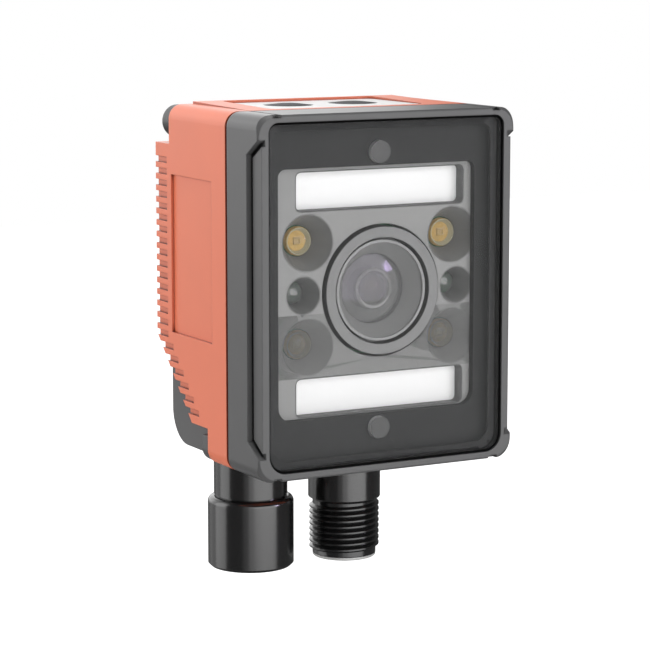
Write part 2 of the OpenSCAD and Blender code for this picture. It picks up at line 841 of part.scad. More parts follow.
module lens_holder() {
    foot_t = 1.2;
    foot_r = tube_r + 2;
    step_y = plate_y1 - 0.8;
    color([0.35, 0.35, 0.35]) placed() turned(optics_x, optics_z)
        polygon([[ring_in_r, ring_y0], [ring_r, ring_y0], [ring_r, step_y], [tube_r, step_y],
            [tube_r, sensor_y0 - foot_t], [foot_r, sensor_y0 - foot_t], [foot_r, sensor_y0],
            [ring_in_r, sensor_y0]]);
}

module lens_barrel() {
    thread_r0 = ring_in_r - fit_gap;
    thread_y0 = rim_y0 + 2;
    exit_r = glass_r - exit_step;
    rear_r = glass_r - rear_step;
    color([0.15, 0.15, 0.15]) placed() turned(optics_x, optics_z)
        polygon([[cone_r, rim_y0], [rim_r, rim_y0], [rim_r, thread_y0], [thread_r0, thread_y0],
            [thread_r0, barrel_y1], [exit_r, barrel_y1], [exit_r, rear_glass_y1],
            [rear_r, rear_glass_y1], [rear_r, stop_y0 + stop_t],
            [glass_r + fit_gap, stop_y0 + stop_t], [glass_r + fit_gap, glass_y0], [cone_r, cone_y0]]);
}

module front_glass() {
    ball_r = (glass_r*glass_r + glass_bulge*glass_bulge)/(2*glass_bulge);
    tip_y = glass_y0 - glass_bulge;
    color([0.6, 0.75, 0.8, 0.5]) placed() on_axis() intersection() {
        translate([0, tip_y + ball_r, 0]) sphere(r = ball_r);
        rod(0, 0, tip_y - past, glass_y0 + glass_edge, glass_r);
    }
}

module aperture_stop() {
    color("black") placed() turned(optics_x, optics_z)
        polygon([[stop_r, stop_y0], [glass_r, glass_y0 + glass_edge], [glass_r, stop_y0 + stop_t],
            [stop_r, stop_y0 + stop_t]]);
}

module rear_glass() {
    color([0.6, 0.75, 0.8, 0.5]) placed() on_axis()
        rod(0, 0, rear_glass_y1 - rear_glass_t, rear_glass_y1, glass_r - rear_step - fit_gap);
}

module image_sensor() {
    sensor_w = 9;
    sensor_h = 8;
    sensor_t = 1.3;
    color("darkslategray") placed() on_axis()
        box([-sensor_w/2, sensor_y0 - sensor_t, -sensor_h/2], [sensor_w/2, sensor_y0, sensor_h/2]);
}

front_bore = 4;
rear_bore = 3.2;
rear_stud = 3;

// A hexagonal spacer along the depth, with a stud at its front end and a tapped hole at its rear end
module spacer(y0, y1, stud_l, bore_l) {
    difference() {
        translate([0, y0, 0]) rotate([-90, 0, 0]) cylinder(h = y1 - y0, r = spacer_af/sqrt(3), $fn = 6);
        rod(0, 0, y1 - bore_l, y1 + past, stud_r + fit_gap);
    }
    rod(0, 0, y0 - stud_l, y0, stud_r);
}

module front_spacers() {
    color("silver") placed() at_corners(spacer_x, spacer_z0, spacer_z1)
        spacer(light_board_y1, sensor_y0, board_t + stud_seat, front_bore);
}

module rear_spacers() {
    color("silver") placed() at_corners(spacer_x, spacer_z0, spacer_z1)
        spacer(sensor_y1, main_y0, board_t + rear_stud, rear_bore);
}

module board(y0) {
    difference() {
        box([-board_w/2, y0, board_z0], [board_w/2, y0 + board_t, board_z1]);
        at_corners(spacer_x, spacer_z0, spacer_z1) rod(0, 0, y0 - past, y0 + board_t + past, stud_r + hole_gap);
    }
}

module sensor_board() {
    color("darkgreen") placed() board(sensor_y0);
}

module main_board() {
    color("darkgreen") placed() board(main_y0);
}

module board_link() {
    link_w = 18;
    link_h = 4.5;
    link_drop = 8;
    link_z = board_z1 - link_drop;
    color("ivory") placed()
        box([-link_w/2, sensor_y1, link_z], [link_w/2, main_y0, link_z + link_h]);
}

module board_screws() {
    head_r = 1.9;
    head_h = 1.3;
    shank_end = 0.4;
    color("silver") placed() at_corners(spacer_x, spacer_z0, spacer_z1) {
        rod(0, 0, main_y1, main_y1 + head_h, head_r);
        rod(0, 0, main_y0 - rear_bore + shank_end, main_y1, stud_r);
    }
}

module processor() {
    color([0.1, 0.1, 0.1]) placed()
        box([-chip_w/2, main_y1, mount_z - chip_w/2], [chip_w/2, chip_y1, mount_z + chip_w/2]);
}

module heat_pad() {
    color("lightgray") placed()
        box([-chip_w/2, chip_y1, mount_z - chip_w/2], [chip_w/2, pad_y1, mount_z + chip_w/2]);
}

module cover_seal() {
    w = body_w - 2*seal_inset;
    h = body_h - 2*seal_inset;
    r = corner_r - seal_inset;
    color([0.15, 0.08, 0.05]) placed() slab(front_d, cover_y0) difference() {
        union() {
            difference() {
                plate2d(w, h, r, r);
                plate2d(2*cheek_x, 2*roof_z, cavity_r, cavity_r);
            }
            for (s = [-1, 1])
                translate([s*screw_x, screw_z]) circle(r = boss_r);
        }
        for (s = [-1, 1])
            translate([s*screw_x, screw_z]) circle(r = screw_r + hole_gap);
    }
}

// The rear edge of the cover's side at a height: upright, then slanting forward
slant = (body_d - cheek_y)/(slant_z - cheek_z);
function rear_y(z) = body_d - slant*max(0, slant_z - z);

// One fin slot: a shallow step round the sides and the rear edge, and a deep gap across the back
module fin_slot(z) {
    y = rear_y(z);
    hw = body_w/2;
    z0 = z - slot_h/2;
    z1 = z + slot_h/2;
    for (s = [-1, 1])
        translate([s*hw, 0, 0]) box([-slot_d, y - slot_l, z0], [slot_d, y + past, z1]);
    box([-hw - past, y - slot_d, z0], [hw + past, body_d + past, z1]);
    if (z0 > slant_z)
        box([cover_wall - hw, y - fin_gap_d, z0], [hw - cover_wall, y + past, z1]);
}

// The outer form of the cover: its side outline, rounded along the roof and the floor
module cover_form() {
    intersection() {
        across(body_w + 2*past)
            polygon([[cover_y0, -body_h/2], [cover_y0, body_h/2], [top_rear_y, body_h/2], [top_rear_y, ledge_z],
                [body_d, ledge_z], [body_d, slant_z], [cheek_y, cheek_z], [ring_y1, cheek_z],
                [ring_y1, -body_h/2]]);
        slab(cover_y0, body_d) plate2d(body_w, body_h, corner_r, corner_r);
        linear_extrude(body_h + 2*past, center = true) {
            translate([-body_w/2, cover_y0 - past]) square([body_w, body_d - cover_y0 + past - fin_edge_r]);
            translate([fin_edge_r - body_w/2, cover_y0]) square([body_w - 2*fin_edge_r, body_d - cover_y0]);
            for (s = [-1, 1])
                translate([s*(body_w/2 - fin_edge_r), body_d - fin_edge_r]) circle(r = fin_edge_r);
        }
    }
}

// The bolt places on the back
module at_bolts() {
    translate([0, 0, mount_z]) at_corners(mount_w/2, -mount_h/2, mount_h/2) children();
}

module heat_sink_cover() {
    top_in_y = top_rear_y - wall_in;
    ledge_in_z = ledge_z - wall_in;
    boss_in = 2.6;
    color("coral") placed() difference() {
        union() {
            difference() {
                cover_form();
                across(2*cheek_x)
                    polygon([[cover_y0 - past, roof_z], [top_in_y, roof_z], [top_in_y, ledge_in_z],
                        [fin_in_y, ledge_in_z], [fin_in_y, slant_z], [body_d + past, slant_z],
                        [body_d + past, -body_h/2 - past], [ring_y1, -body_h/2 - past], [ring_y1, floor_z],
                        [cover_y0 - past, floor_z]]);
            }
            across(crown_w)
                polygon([[cover_y0, body_h/2 - roof_t/2], [cover_y0, body_h/2],
                    [top_rear_y, body_h/2 + crown_h], [top_rear_y, body_h/2 - roof_t/2]]);
            at_screws() rod(0, 0, cover_y0, top_rear_y, column_r);
            at_bolts() rod(0, 0, fin_in_y - boss_in, body_d - fin_base/2, mount_boss_r);
            box([-chip_w/2, pad_y1, mount_z - chip_w/2], [chip_w/2, fin_in_y + past, mount_z + chip_w/2]);
        }
        at_screws() rod(0, 0, cover_y0 - past, top_rear_y + past, screw_r + hole_gap);
        at_connectors() post(0, 0, -body_h, tray_z0, neck_r + tray_gap);
        at_bolts() rod(0, 0, body_d - mount_depth, body_d + past, mount_r);
        difference() {
            for (i = [0:slot_n - 1])
                fin_slot(slot_z - i*slot_pitch);
            at_bolts() rod(0, 0, fin_in_y, body_d + 2*past, mount_boss_r);
        }
        for (s = [-1, 1]) {
            translate([s*body_w/2, 0, 0])
                box([-label_d, label_y0, label_z0], [label_d, label_y1, label_z1]);
            post(s*status_x, status_y, roof_z - past, body_h/2 + past, status_hole_r);
            post(s*tongue_x, tongue_y, -body_h/2 - past, floor_z + past, tongue_screw_r + hole_gap);
            translate([s*tongue_x, tongue_y, -body_h/2])
                cylinder(h = tongue_screw_r, r1 = 2*tongue_screw_r + hole_gap, r2 = tongue_screw_r + hole_gap);
            translate([s*hook_x, front_d + hook_l, floor_z])
                box([-hook_w/2 - hook_room, -hook_t - hook_room, -hook_barb - hook_gap],
                    [hook_w/2 + hook_room, hook_room, hook_gap]);
        }
        translate([0, (panel_y0 + panel_y1)/2, panel_z - panel_t]) linear_extrude(panel_sink + panel_t + past)
            plate2d(panel_w + 2*hole_gap, panel_y1 - panel_y0 + 2*hole_gap, panel_r + hole_gap,
                panel_r + hole_gap);
    }
}

module cover_screws() {
    socket_af = 2.5;
    socket_floor = 1.6;
    color([0.2, 0.2, 0.2]) placed() at_screws() {
        difference() {
            rod(0, 0, top_rear_y, top_rear_y + screw_head_h, screw_head_r);
            translate([0, top_rear_y + socket_floor, 0]) rotate([-90, 0, 0])
                cylinder(h = screw_head_h, r = socket_af/sqrt(3), $fn = 6);
        }
        rod(0, 0, front_d - screw_reach, top_rear_y, screw_r);
    }
}

module top_panel() {
    color("whitesmoke") placed()
        translate([0, 0, panel_z - panel_t]) linear_extrude(panel_t) difference() {
            translate([0, (panel_y0 + panel_y1)/2])
                plate2d(panel_w, panel_y1 - panel_y0, panel_r, panel_r);
            for (s = [-1, 1])
                translate([s*status_x, status_y]) circle(r = status_hole_r);
        }
}

module status_lenses() {
    color([0.15, 0.15, 0.16]) placed()
        for (s = [-1, 1])
            translate([s*status_x, status_y, 0]) difference() {
                union() {
                    post(0, 0, roof_z, panel_z - status_sink, status_r);
                    post(0, 0, status_foot_z, roof_z, status_r + status_flange);
                }
                post(0, 0, status_foot_z - past, status_foot_z + status_pit_h, status_pit_r);
            }
}

module status_board() {
    edge = status_r + status_flange + status_rim;
    color("darkgreen") placed()
        box([-status_x - edge, status_y - edge, status_foot_z - status_board_t],
            [status_x + edge, status_y + edge, status_foot_z]);
}

module status_emitters() {
    emitter_w = 2;
    emitter_h = 0.8;
    color("ivory") placed()
        for (s = [-1, 1])
            translate([s*status_x, status_y, status_foot_z])
                box([-emitter_w/2, -emitter_w/2, 0], [emitter_w/2, emitter_w/2, emitter_h]);
}

// Side outline of the connector housing, with its rounded lower rear edge
module tray2d() {
    top = slant_z - tray_gap;
    translate([tray_y0, tray_z0]) square([tray_y1 - tray_r - tray_y0, top - tray_z0]);
    translate([tray_y0, tray_z0 + tray_r]) square([tray_y1 - tray_y0, top - tray_z0 - tray_r]);
    translate([tray_y1 - tray_r, tray_z0 + tray_r]) circle(r = tray_r);
}

// The connectors' axes
module at_connectors() {
    for (x = [socket_x, plug_x])
        translate([x, conn_y, 0]) children();
}

module connector_housing() {
    lip_w = body_w - 2*lip_inset;
    lip_h = body_h - 2*lip_inset;
    lip_r = corner_r - lip_inset;
    color([0.3, 0.3, 0.3]) placed() difference() {
        union() {
            difference() {
                across(2*tray_x) tray2d();
                box([-tray_in_x, tray_y0 - past, tray_in_z], [tray_in_x, tray_y1 - tray_t, slant_z + past]);
            }
            intersection() {
                slab(tray_y0, lip_y1) plate2d(lip_w, lip_h, lip_r, lip_r);
                box([-body_w, 0, -body_h], [body_w, body_d, cheek_z - lip_drop]);
                union() {
                    box([-body_w, 0, -body_h], [body_w, body_d, tray_in_z]);
                    for (s = [-1, 1])
                        translate([s*body_w/2, 0, 0])
                            box([tray_in_x - body_w/2, 0, -body_h], [body_w/2 - tray_in_x, body_d, 0]);
                }
            }
            for (s = [-1, 1])
                translate([s*tongue_x, tray_y0, floor_z + tray_gap]) {
                    box([-tongue_w/2, -tongue_l, 0], [tongue_w/2, 0, tongue_h]);
                    box([-tongue_w/2, -tongue_l, 0], [tongue_w/2, tongue_root, tray_in_z - floor_z - tray_gap]);
                }
        }
        at_connectors() {
            post(0, 0, -body_h, tray_in_z + past, stub_r + hole_gap);
            post(0, 0, -body_h, tray_z0, neck_r + tray_gap);
        }
        for (s = [-1, 1])
            post(s*tongue_x, tongue_y, floor_z, floor_z + tongue_h - tongue_roof, tongue_screw_r + screw_gap);
    }
}

module tongue_screws() {
    color("silver") placed()
        for (s = [-1, 1])
            translate([s*tongue_x, tongue_y, -body_h/2]) {
                cylinder(h = tongue_screw_r, r1 = 2*tongue_screw_r, r2 = tongue_screw_r);
                post(0, 0, 0, roof_t + tongue_h - 2*tongue_roof, tongue_screw_r);
            }
}

// The connector necks seat on their seals, under the housing floor
neck_z1 = tray_z0 - seal_cord;

module connector_seals() {
    color("black") placed() at_connectors()
        rotate_extrude() translate([stub_r + hole_gap, neck_z1]) square([neck_r - stub_r - hole_gap, seal_cord]);
}

module connector_nuts() {
    color("silver") placed() at_connectors()
        difference() {
            translate([0, 0, tray_in_z]) rotate(30) cylinder(h = nut_h, r = nut_af/sqrt(3), $fn = 6);
            post(0, 0, tray_in_z - past, tray_in_z + nut_h + past, stub_r + fit_gap);
        }
}

module socket_shell() {
    top = tray_z0 + stub_l;
    shell_z1 = socket_z0 + shell_l;
    shoulder_z = shell_z1 + shell_round;
    edge = 0.5;
    neck_cut = 0.3;
    color([0.2, 0.2, 0.2]) placed() translate([socket_x, conn_y, 0]) rotate_extrude() {
        polygon([[insert_r + fit_gap, top], [stub_r, top], [stub_r, neck_z1], [neck_r, neck_z1],
            [neck_r, shoulder_z + neck_cut], [neck_r - neck_cut, shoulder_z + neck_cut],
            [neck_r - neck_cut, shoulder_z], [shell_r - shell_round, shoulder_z],
            [shell_r - shell_round, shell_z1], [shell_r, shell_z1], [shell_r, socket_z0 + edge],
            [shell_r - edge, socket_z0], [socket_r, socket_z0], [socket_r, socket_z0 + socket_depth],
            [insert_r + fit_gap, socket_z0 + socket_depth]]);
        translate([shell_r - shell_round, shell_z1]) circle(r = shell_round);
    }
}

// The middle and the ring of contact places
module at_contacts() {
    children();
    for (i = [0:contact_n - 1])
        rotate([0, 0, i*pin_pitch]) translate([contact_pcr, 0, 0]) children();
}

module socket_insert() {
    key_r = 0.6;
    z0 = socket_z0 + insert_sink;
    color([0.1, 0.1, 0.1]) placed() translate([socket_x, conn_y, 0]) difference() {
        post(0, 0, z0, insert_top, insert_r);
        at_contacts() post(0, 0, z0 - past, insert_top + past, contact_r + fit_gap);
        post(0, -insert_r, z0 - past, socket_z0 + socket_depth, key_r);
    }
}

module socket_contacts() {
    color("gold") placed() translate([socket_x, conn_y, 0])
        at_contacts() post(0, 0, socket_z0 + insert_sink + contact_sink, tail_z, contact_r);
}

module plug_shell() {
    top = tray_z0 + stub_l;
    rim_h0 = 0.8;
    lead = 0.5;
    thread_z0 = plug_z0 + rim_h0 + lead;
    thread_z1 = thread_z0 + thread_l;
    under_z1 = thread_z1 + lead;
    under_r = thread_r - 0.55;
    end_c = 0.15;
    color([0.2, 0.2, 0.2]) placed() translate([plug_x, conn_y, 0]) rotate_extrude()
        polygon([[insert_r + fit_gap, top], [stub_r, top], [stub_r, neck_z1], [neck_r, neck_z1],
            [neck_r, under_z1 + lead], [under_r, under_z1], [under_r, thread_z1], [thread_r, thread_z1],
            [thread_r, thread_z0], [rim_end_r, thread_z0 - lead], [rim_end_r, plug_z0 + end_c],
            [rim_end_r - end_c, plug_z0], [cup_r, plug_z0], [cup_r, plug_z0 + cup_depth],
            [insert_r + fit_gap, plug_z0 + cup_depth]]);
}

module plug_insert() {
    color([0.1, 0.1, 0.1]) placed() translate([plug_x, conn_y, 0]) difference() {
        post(0, 0, plug_z0 + cup_depth, insert_top, insert_r);
        at_contacts() post(0, 0, plug_z0, insert_top + past, contact_r + fit_gap);
    }
}

module plug_pins() {
    color("gold") placed() translate([plug_x, conn_y, 0])
        at_contacts() post(0, 0, plug_z0 + insert_sink, tail_z, contact_r);
}

module connector_board() {
    rim = 0.6;
    edge = insert_r + rim;
    z0 = tail_z - conn_board_t;
    color("darkgreen") placed() difference() {
        box([socket_x - edge, conn_y - edge, z0], [plug_x + edge, conn_y + edge, tail_z]);
        at_connectors() at_contacts() post(0, 0, z0 - past, tail_z + past, contact_r + fit_gap);
    }
}

module flex_tail() {
    color("chocolate") placed()
        box([-tail_w/2, main_y0 - tail_t, tail_z], [tail_w/2, main_y0, board_z0 + tail_lap]);
}

front_housing();
window_pane();
window_gasket();
light_shield();
shield_pins();
light_plate();
light_cups();
light_domes();
aiming_cups();
aiming_lenses();
upper_light_bar();
lower_light_bar();
bar_emitters();
polarizing_film();
light_board();
lens_holder();
lens_barrel();
front_glass();
aperture_stop();
rear_glass();
image_sensor();
front_spacers();
sensor_board();
board_link();
rear_spacers();
main_board();
board_screws();
processor();
heat_pad();
cover_seal();
heat_sink_cover();
cover_screws();
top_panel();
status_lenses();
status_board();
status_emitters();
connector_housing();
tongue_screws();
connector_seals();
connector_nuts();
socket_shell();
socket_insert();
socket_contacts();
plug_shell();
plug_insert();
plug_pins();
connector_board();
flex_tail();
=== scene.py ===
import math
import bmesh
import bpy
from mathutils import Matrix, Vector


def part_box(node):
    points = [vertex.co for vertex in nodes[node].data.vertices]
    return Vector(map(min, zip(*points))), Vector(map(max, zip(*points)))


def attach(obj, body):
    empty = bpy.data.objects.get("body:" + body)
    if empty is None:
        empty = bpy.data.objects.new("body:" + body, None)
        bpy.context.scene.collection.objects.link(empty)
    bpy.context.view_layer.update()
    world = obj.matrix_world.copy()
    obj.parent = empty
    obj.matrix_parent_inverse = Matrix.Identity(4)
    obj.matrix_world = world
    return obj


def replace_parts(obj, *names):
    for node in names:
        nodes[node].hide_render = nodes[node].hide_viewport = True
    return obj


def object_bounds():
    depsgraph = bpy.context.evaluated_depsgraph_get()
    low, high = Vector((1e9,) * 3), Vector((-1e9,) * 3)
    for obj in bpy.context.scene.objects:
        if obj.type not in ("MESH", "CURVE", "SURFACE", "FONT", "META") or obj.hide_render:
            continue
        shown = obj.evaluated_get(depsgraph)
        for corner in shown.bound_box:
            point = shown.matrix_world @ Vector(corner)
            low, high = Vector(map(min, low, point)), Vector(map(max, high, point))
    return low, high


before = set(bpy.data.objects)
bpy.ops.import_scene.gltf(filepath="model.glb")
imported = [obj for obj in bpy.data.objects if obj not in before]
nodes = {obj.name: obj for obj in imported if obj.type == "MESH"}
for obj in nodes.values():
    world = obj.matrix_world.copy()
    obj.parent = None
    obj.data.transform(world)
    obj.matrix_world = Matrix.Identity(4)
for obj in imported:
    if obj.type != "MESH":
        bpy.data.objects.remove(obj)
cad_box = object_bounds()
scene = bpy.context.scene
MM = 0.001


# Camera at the photograph's angle

LENS, SENSOR = 138.96, 36.0
NEAR, FAR = 0.01, 20.0
CAMERA_AT = (-0.19985, -0.38189, 0.04844)
CAMERA_TILT, CAMERA_TURN = 81.39, -28.67

cam_data = bpy.data.cameras.new("camera")
cam_data.lens = LENS
cam_data.sensor_width = SENSOR
cam_data.clip_start = NEAR
cam_data.clip_end = FAR
cam = bpy.data.objects.new("camera", cam_data)
cam.location = CAMERA_AT
cam.rotation_euler = (math.radians(CAMERA_TILT), 0.0, math.radians(CAMERA_TURN))
scene.collection.objects.link(cam)
scene.camera = cam
scene.view_settings.view_transform = "Standard"


# Material nodes

class Net:
    """A short way to fill the node tree of a material or world, which starts empty."""

    def __init__(self, owner):
        owner.use_nodes = True
        self.tree = owner.node_tree
        self.tree.nodes.clear()

    def add(self, kind, values=(), **settings):
        node = self.tree.nodes.new(kind)
        for key, value in settings.items():
            setattr(node, key, value)
        for key, value in dict(values).items():
            if isinstance(value, bpy.types.NodeSocket):
                self.tree.links.new(value, node.inputs[key])
            else:
                node.inputs[key].default_value = value
        return node

    def math(self, operation, a, b=0.0):
        return self.add("ShaderNodeMath", {0: a, 1: b}, operation=operation).outputs[0]

    def vector(self, operation, a, b=(0.0, 0.0, 0.0)):
        return self.add("ShaderNodeVectorMath", {0: a, 1: b}, operation=operation).outputs

    def split(self, where):
        return self.add("ShaderNodeSeparateXYZ", {0: where}).outputs

    def noise(self, where, scale, detail):
        values = {"Vector": where, "Scale": scale, "Detail": detail}
        return self.add("ShaderNodeTexNoise", values).outputs["Fac"]

    def span(self, value, a, b, c, d):
        """value from the range a to b, mapped to the range c to d."""
        return self.add("ShaderNodeMapRange", {0: value, 1: a, 2: b, 3: c, 4: d}).outputs[0]

    def mix(self, factor, a, b):
        return self.add("ShaderNodeMix", {0: factor, 6: a, 7: b}, data_type="RGBA").outputs[2]

    def end(self, kind, shader):
        out = self.add(kind)
        self.tree.links.new(shader.outputs[0], out.inputs[0])


def rgb(colour, gain=1.0):
    return tuple(min(1.0, c * gain) for c in colour[:3]) + (1.0,)


def grey(level):
    return (level, level, level)


# Shared settings of the worked surfaces
CLOUD_DETAIL, GRAIN_DETAIL = 3.0, 2.0
NOISE_LOW, NOISE_HIGH = 0.3, 0.7
SPECK_GAIN, SPECK_LIGHT = 4, 1.25
WORN_FROM, WORN_TO, WORN_LIGHT = 0.995, 0.86, 1.5
PATCH_SCALE, PATCH_LOW, PATCH_HIGH, PATCH_LEAST = 420.0, 0.35, 0.65, 0.3
# Ambient occlusion span over which the painted shade in creases sets in
CREASE_SHADE_FROM, CREASE_SHADE_TO = 0.7, 0.38
BEVEL_SAMPLES, CREASE_SHADE_SAMPLES = 4, 16
BUMP_HEIGHT = 0.1 * MM
COAT_ROUGH = 0.1


def surface(name, colour, rough, metal=0.0, spec=0.5, alpha=1.0, coat=0.0, tint=0.06, speck=0.04, cloud=90.0,
            grain=2600.0, bump=0.12, rough_span=0.08, edge=0.0, wear=0.0, wear_colour=None, ior=1.45,
            brushed=None, zone=None, crease_shade_reach=0.0, crease_shade_colour=grey(0.0), spec_tint=grey(1.0)):
    """A worked surface: clouded and speckled colour, grain in bump and roughness, soft worn edges, and painted shade
    in its creases.

    edge is the radius of its edges and crease_shade_reach the reach of the painted shade in its creases, both in mm.
    """
    mat = bpy.data.materials.new(name)
    net = Net(mat)
    where = net.add("ShaderNodeTexCoord").outputs["Object"]
    if brushed:
        where = net.add("ShaderNodeMapping", {"Vector": where, "Scale": brushed}).outputs[0]
    clouds = net.noise(where, cloud, CLOUD_DETAIL)
    grains = net.noise(where, grain, GRAIN_DETAIL)
    shade = net.mix(net.span(clouds, NOISE_LOW, NOISE_HIGH, 0.0, 1.0), rgb(colour, 1 - tint), rgb(colour, 1 + tint))
    dots = net.span(grains, NOISE_LOW, NOISE_HIGH, 0.0, 1.0)
    shade = net.mix(net.math("MULTIPLY", dots, speck * SPECK_GAIN), shade, rgb(colour, SPECK_LIGHT))
    if zone:
        shade = zone(net, where, shade)
    bump_values = {"Strength": bump, "Distance": BUMP_HEIGHT, "Height": grains}
    if edge:
        normal = net.add("ShaderNodeBevel", {"Radius": edge * MM}, samples=BEVEL_SAMPLES).outputs[0]
        bump_values["Normal"] = normal
        if wear:
            flat = net.add("ShaderNodeNewGeometry").outputs["Normal"]
            agree = net.vector("DOT_PRODUCT", normal, flat)["Value"]
            rubbed = net.span(agree, WORN_FROM, WORN_TO, 0.0, 1.0)
            patchy = net.span(net.noise(where, PATCH_SCALE, CLOUD_DETAIL), PATCH_LOW, PATCH_HIGH, PATCH_LEAST, 1.0)
            amount = net.math("MULTIPLY", net.math("MULTIPLY", rubbed, patchy), wear)
            shade = net.mix(amount, shade, rgb(wear_colour) if wear_colour else rgb(colour, WORN_LIGHT))
    # Painted shade: ambient occlusion darkens the colour towards crease_shade_colour in creases, slots and gaps
    if crease_shade_reach:
        values = {"Distance": crease_shade_reach * MM}
        open_air = net.add("ShaderNodeAmbientOcclusion", values, samples=CREASE_SHADE_SAMPLES).outputs["AO"]
        shade = net.mix(net.span(open_air, CREASE_SHADE_FROM, CREASE_SHADE_TO, 0.0, 1.0), shade, rgb(crease_shade_colour))
    bumped = net.add("ShaderNodeBump", bump_values).outputs[0]
    uneven = net.math("ADD", clouds, grains)
    roughness = net.span(uneven, 1 - NOISE_LOW, 1 + NOISE_LOW, rough - rough_span, rough + rough_span)
    net.end("ShaderNodeOutputMaterial", net.add("ShaderNodeBsdfPrincipled", {
        "Base Color": shade, "Roughness": roughness, "Normal": bumped, "Metallic": metal,
        "Specular IOR Level": spec, "Specular Tint": rgb(spec_tint), "IOR": ior, "Alpha": alpha,
        "Coat Weight": coat, "Coat Roughness": COAT_ROUGH}))
    return mat


# Zones of another colour within a surface: the barrel's pale rim, and painted shade and highlights on grooves and
# walls

RIM_FULL, RIM_END = 0.1 * MM, 0.25 * MM
GROOVE_DEEP, GROOVE_FADE = 0.85 * MM, 0.1 * MM
GROOVE_FRONT, GROOVE_BACK = 0.8 * MM, 4.5 * MM
GROOVE_RISE = 25.5 * MM
FRONT_ENDS, WALL_STARTS = -0.45, -0.25


def pale_rim(net, where, shade):
    """The barrel's rim, in front of its cone, is turned brighter."""
    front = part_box("lens_barrel")[0].y
    rim = net.span(net.split(where)["Y"], front + RIM_END, front + RIM_FULL, 0.0, 1.0)
    return net.mix(rim, shade, rgb(grey(0.3)))


def grooves_painted_shade(net, where, shade):
    """Painted shade: the narrow groove behind each side strip is coloured black."""
    low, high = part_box("front_housing")
    parts = net.split(where)
    inward = net.math("SUBTRACT", high.x, net.math("ABSOLUTE", parts["X"]))
    deep = net.span(inward, GROOVE_DEEP, GROOVE_DEEP + GROOVE_FADE, 0.0, 1.0)
    behind = net.math("GREATER_THAN", parts["Y"], low.y + GROOVE_FRONT)
    before = net.math("LESS_THAN", parts["Y"], low.y + GROOVE_BACK)
    rise = net.math("ABSOLUTE", net.math("SUBTRACT", parts["Z"], (low.z + high.z) / 2))
    beside = net.math("LESS_THAN", rise, GROOVE_RISE)
    mask = net.math("MULTIPLY", net.math("MULTIPLY", deep, behind), net.math("MULTIPLY", before, beside))
    # The groove's shade, painted near black
    return net.mix(mask, shade, rgb(grey(0.004)))


def walls(net, shade, colour):
    """Another colour on all faces that don't look to the front, used for painted shade and painted highlights."""
    facing = net.split(net.add("ShaderNodeNewGeometry").outputs["Normal"])["Y"]
    return net.mix(net.span(facing, FRONT_ENDS, WALL_STARTS, 0.0, 1.0), shade, rgb(colour))


# Painted shade: walls that lie in shadow are coloured near black
def walls_painted_shade(net, where, shade):
    return walls(net, shade, grey(0.04))


# Painted highlight: the walls are coloured light grey as if lit
def walls_painted_highlight(net, where, shade):
    return walls(net, shade, grey(0.4))


